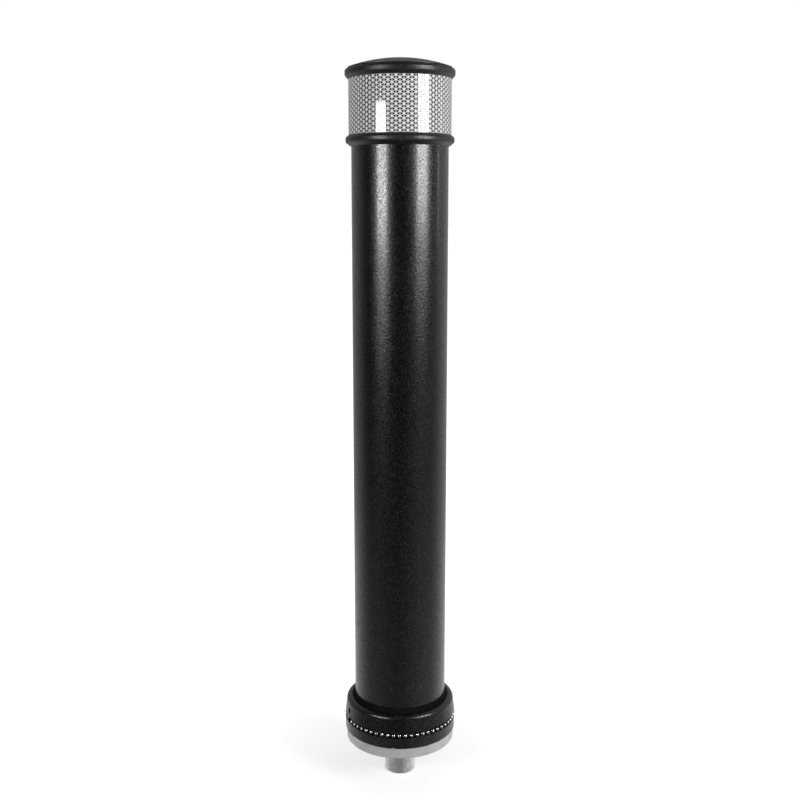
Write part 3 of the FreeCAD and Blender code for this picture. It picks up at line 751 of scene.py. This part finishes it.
@dataclass(frozen=True)
class SoftBox:
    """One rectangular studio light."""

    name: str
    azimuth: float
    height: float
    width: float
    tall: float
    power: float
    distance: float = 1.5

    def place(self, aim: Vector) -> None:
        """Stand the light round the axis and point it level at the object.

        Args:
            aim: the point on the object that the light is turned to.
        """
        data = bpy.data.lights.new(self.name, "AREA")
        data.shape = "RECTANGLE"
        data.size = self.width
        data.size_y = self.tall
        data.energy = self.power
        light = bpy.data.objects.new(self.name, data)
        bpy.context.scene.collection.objects.link(light)
        turn = math.radians(self.azimuth)
        light.location = (
            self.distance * math.sin(turn),
            -self.distance * math.cos(turn),
            self.height,
        )
        facing = Vector((aim.x, aim.y, light.location.z)) - light.location
        light.rotation_mode = "QUATERNION"
        light.rotation_quaternion = facing.to_track_quat("-Z", "Y")


@dataclass
class Studio:
    """Pale floor with a painted shadow pool round the object, soft lights, pale surroundings and
    the camera.
    """

    aim_height: float = 0.35
    floor_gap: float = 0.0005
    floor_half: float = 30.0
    floor_grey: Colour = (0.5, 0.5, 0.5)
    # painted shadow: a dimmer floor glow round the object, and the distance over which it
    # brightens to the plain glow, stand in for the object's shadow on the floor
    shadow_pool_glow: float = 0.60
    glow_far: float = 1.0
    shadow_pool_reach: Span = (0.02, 0.34)
    camera_distance: float = 1.139
    camera_height: float = 0.5992
    camera_pitch: float = 10.46
    lens: float = 47.98
    white: Colour = (1.0, 1.0, 1.0)
    pale: float = 1.0
    ahead: float = 0.022
    behind: float = 0.37
    back_spread: Span = (-0.1, 0.4)
    right_side: float = 0.20
    below: float = 0.04
    below_spread: Span = (-0.25, -0.7)
    floor_front: float = 0.18
    floor_sides: float = 0.40
    floor_rise: Span = (-0.26, -0.42)
    floor_fade: Span = (-0.85, -0.60)
    floor_turn: Span = (-0.92, -0.50)

    def build(self, bottom: float) -> None:
        """Set the stage under the object.

        Args:
            bottom: the height of the object's lowest point.
        """
        self.lay_floor(bottom - self.floor_gap)
        self.light_up()
        self.surround()
        self.stand_camera()
        bpy.context.scene.view_settings.view_transform = "Standard"

    def lay_floor(self, level: float) -> None:
        """Make the pale floor, whose glow is dimmer round the object as a painted shadow pool;
        the surroundings stand in for the floor in the object's gloss.

        Args:
            level: the floor's height.
        """
        half = self.floor_half
        square = ((-half, -half), (half, -half), (half, half), (-half, half))
        corners = [(x, y, level) for x, y in square]
        mesh = bpy.data.meshes.new("floor")
        mesh.from_pydata(corners, [], [(0, 1, 2, 3)])
        floor = bpy.data.objects.new("floor", mesh)
        bpy.context.scene.collection.objects.link(floor)
        recipe = Recipe("floor_white_with_painted_shadow")
        reach = recipe.node("ShaderNodeVectorMath", {"operation": "LENGTH"}, {0: recipe.place})
        # painted shadow: 0 at the object's axis and 1 at the pool's edge, so the floor glows
        # dimmer round the object as a grey pool
        shadow_pool = Value(recipe, reach.outputs["Value"]).span(*self.shadow_pool_reach)
        glows = [(glow, glow, glow) for glow in (self.shadow_pool_glow, self.glow_far)]
        finish = recipe.finish(
            Base_Color=self.floor_grey,
            Roughness=1.0,
            Specular_IOR_Level=0.0,
            Emission_Color=recipe.blend(shadow_pool, *glows),
            Emission_Strength=1.0,
        )
        mesh.materials.append(finish)
        floor.visible_glossy = False
        floor.visible_diffuse = False
        floor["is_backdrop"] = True

    def light_up(self) -> None:
        """Place the soft boxes."""
        aim = Vector((0.0, 0.0, self.aim_height))
        for box in (
            SoftBox("soft_left", azimuth=-42.2, height=0.674, width=0.62, tall=0.313, power=13.6),
            SoftBox("soft_right", azimuth=52.6, height=0.83, width=0.72, tall=0.52, power=21.0),
            SoftBox("strip_right", azimuth=101.0, height=0.80, width=0.04, tall=0.60, power=0.60),
        ):
            box.place(aim)

    def surround(self) -> None:
        """Give the camera pale surroundings, and the object a light that is dimmer in front."""
        world = bpy.data.worlds.new("surroundings")
        bpy.context.scene.world = world
        world.use_nodes = True
        tree = ShaderTree(world.node_tree)
        x, y, z = tree.axes(tree.node("ShaderNodeTexCoord").outputs["Generated"])
        light = y.span(*self.back_spread, self.ahead, self.behind)
        light = light + x.span(0.0, 1.0, 0.0, self.right_side)
        light = light + z.span(*self.below_spread, 0.0, self.below)
        slant = z.span(*self.floor_rise) * z.span(*self.floor_fade)
        light = light + slant * y.span(*self.floor_turn, self.floor_front, self.floor_sides)
        sight = tree.node("ShaderNodeLightPath").outputs["Is Camera Ray"]
        dim, pale = (
            tree.node("ShaderNodeBackground", inputs={"Color": self.white, "Strength": strength})
            for strength in (light, self.pale)
        )
        shaders = {0: sight, 1: dim.outputs[0], 2: pale.outputs[0]}
        either = tree.node("ShaderNodeMixShader", inputs=shaders)
        tree.node("ShaderNodeOutputWorld", inputs={"Surface": either.outputs[0]})

    def stand_camera(self) -> None:
        """Place the camera in front of the object, a little above its middle."""
        data = bpy.data.cameras.new("camera")
        data.lens = self.lens
        data.sensor_width = SENSOR_WIDTH
        camera = bpy.data.objects.new("camera", data)
        bpy.context.scene.collection.objects.link(camera)
        camera.location = (0.0, -self.camera_distance, self.camera_height)
        camera.rotation_euler = (math.radians(90.0 - self.camera_pitch), 0.0, 0.0)
        bpy.context.scene.camera = camera


# ---------------------------------------------------------------------------------------- main


def main() -> None:
    """Load the frame, dress every sub-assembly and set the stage."""
    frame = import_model()
    cad_low, cad_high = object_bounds()
    for part in (GroundRing, SideLock, Foot, Post, Head):
        log.info("%s", part.__name__)
        part(frame["nodes"]).build()
    Studio().build(cad_low.z)


if __name__ == "__main__":
    main()
